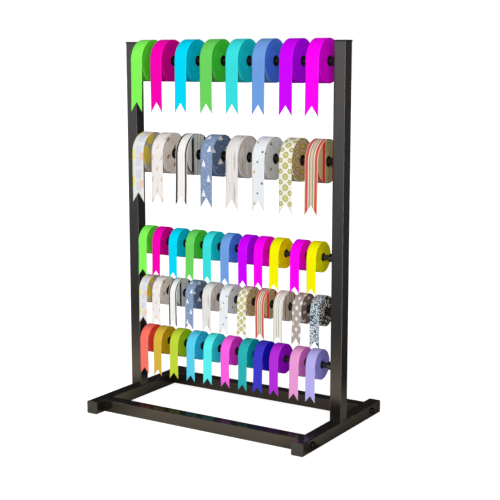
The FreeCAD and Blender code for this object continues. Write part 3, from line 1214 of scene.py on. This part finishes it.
# %% The cards
CARD_COLOUR = (1.0, 0.87, 0.68)
CARD_STRENGTH = 2.2
CARD_REACH = 1.0
CARD_DEPTH = 2 * MM
STRIP_COLOUR = (1.0, 0.98, 0.95)
STRIP_STRENGTH = 6.0
STRIP_X = (-0.2, 1.1)
STRIP_Y = -2.6
STRIP_Z = (-1.0, 1.2)


def make_card(name, corners, finish):
    """A plane that shows in reflections only."""
    card = make_plane(name, corners, finish)
    card.visible_camera = False
    card.visible_shadow = False
    card.visible_transmission = False


def shining(name, strength):
    """A finish that only gives light."""
    finish = Finish(name, roughness=1.0, specular=0.0)
    finish.paint((0.0, 0.0, 0.0))
    finish.put("Emission Strength", strength)
    return finish


def floor_glow(finish, x, y):
    """How bright the floor card is from place to place, in metres from the middle of the rack, with painted
    light and shade.
    """
    # A painted shadow under each foot, and painted light that grows from the back of the rack to its front.
    out_of_foot_shadow = finish.ramp(abs(abs(x) - UPRIGHT_X), 0.0, 0.07)
    forwards = finish.least(finish.most(0.36 - y * 1.3, 0.26), 0.55)
    # Between the feet a painted pool of light, and from the front rail to a little behind it a painted
    # shadow.
    painted_light_between_feet = (abs(x) < UPRIGHT_X) * (y > -0.06) * finish.ramp(y, 0.03, -0.05)
    front_rail_shadow = (y > -RAIL_Y - TUBE / 2) * (y < -0.06)
    # Painted shadows by the feet and behind the front rail, and painted light between the feet.
    near = out_of_foot_shadow * forwards * (1.0 + painted_light_between_feet * 0.9 - front_rail_shadow * 0.7)
    # In front of the rack, and further back on its left, painted light brightens it in two steps.
    ahead = finish.most(-0.2 - x, 0.0) * 1.2 - y
    return near + finish.ramp(ahead, 0.09, 0.13) * 0.22 + finish.ramp(ahead, 0.14, 0.2) * 0.28


def floor_card_finish():
    finish = shining("card_glow", CARD_STRENGTH)
    x, y, _ = finish.split(finish.place())
    finish.glow(finish.shade(CARD_COLOUR, floor_glow(finish, x, y)))
    front_and_back = finish.ramp(y, -0.52, -0.25) * finish.ramp(y, 0.28, 0.1)
    finish.put("Alpha", front_and_back * finish.ramp(abs(x), 0.62, 0.32))
    return finish


make_card("floor_card", level_square(CARD_REACH, -CARD_DEPTH), floor_card_finish())
strip_finish = shining("strip_glow", STRIP_STRENGTH)
strip_finish.glow(STRIP_COLOUR)
left, right = STRIP_X
bottom, top = STRIP_Z
corners = [(left, STRIP_Y, bottom), (right, STRIP_Y, bottom), (right, STRIP_Y, top), (left, STRIP_Y, top)]
make_card("strip_card", corners, strip_finish)

# %% [markdown]
# ## Lamps and room
# A soft lamp and the bright half of the room stand in front, a little to the right: faces and loose ends are
# bright, and the wound sides get a little under half of that. A small screen at the front left gives the flat
# steel its sheen, and a faint one at the rear right does so for the faces that look to the right. A weaker
# lamp behind keeps the back from going black, and is left out of reflections. The room is white to the eye,
# but its light depends on the direction alone.

# %% Lamps
LAMP_SPREAD = 25.0


def make_lamp(name, heading, height, strength, in_reflections):
    """A soft lamp far away. heading is in degrees to the right of the front, and height above the floor."""
    lamp = bpy.data.objects.new(name, bpy.data.lights.new(name, "SUN"))
    lamp.data.energy = strength
    lamp.data.angle = math.radians(LAMP_SPREAD)
    lamp.rotation_euler = (math.radians(90 - height), 0, math.radians(heading))
    lamp.visible_glossy = in_reflections
    scene.collection.objects.link(lamp)


make_lamp("front_lamp", 19.0, 14.0, 1.8, True)
make_lamp("back_lamp", -165.0, 14.0, 1.6, False)

# %% Room
ROOM_DARK = 0.05
ROOM_FRONT = 1.3
ROOM_BEHIND = 0.2
ROOM_SCREEN = 2.5
ROOM_SIDE = 0.19


def room_glow(sky):
    """How bright the room is in each direction. z is 0 at the height of the eye and 1 straight up."""
    x, y, z = sky.split(sky.add("ShaderNodeTexCoord").outputs["Generated"])

    def towards(heading, power):
        """Brightest at this heading, in degrees to the right of the front. More power makes it narrower."""
        angle = math.radians(heading)
        return sky.math("POWER", sky.most(x * math.sin(angle) - y * math.cos(angle), 0.0), power)

    upwards = sky.least(sky.most(z * 0.6 + 0.55, 0.15), 1.0)
    front = ROOM_FRONT * towards(30, 1.5)
    behind = ROOM_BEHIND * towards(-143, 1.0) * sky.ramp(z, 0.45, 0.75)
    screen = ROOM_SCREEN * towards(-31, 44.0) * sky.most(sky.least(z * 2.3 + 1.0, 1.0), 0.3)
    side_height = sky.ramp(z, -0.3385, -0.1846) * sky.most(sky.ramp(z, 0.26, 0.1), 0.1)
    return (ROOM_DARK + front + behind) * upwards + screen + ROOM_SIDE * towards(150, 6.0) * side_height


room = bpy.data.worlds.new("room")
room.use_nodes = True
sky = Tree(room.node_tree)
sky.group.nodes.clear()
seen = Value(sky, sky.add("ShaderNodeLightPath").outputs["Is Camera Ray"])
strength = seen + (1.0 - seen) * room_glow(sky)
background = sky.add("ShaderNodeBackground", None, {"Color": (1, 1, 1, 1), "Strength": strength})
sky.group.links.new(background.outputs[0], sky.add("ShaderNodeOutputWorld").inputs["Surface"])
scene.world = room
scene.view_settings.view_transform = "Standard"
print("room:", len(room.node_tree.nodes), "nodes")
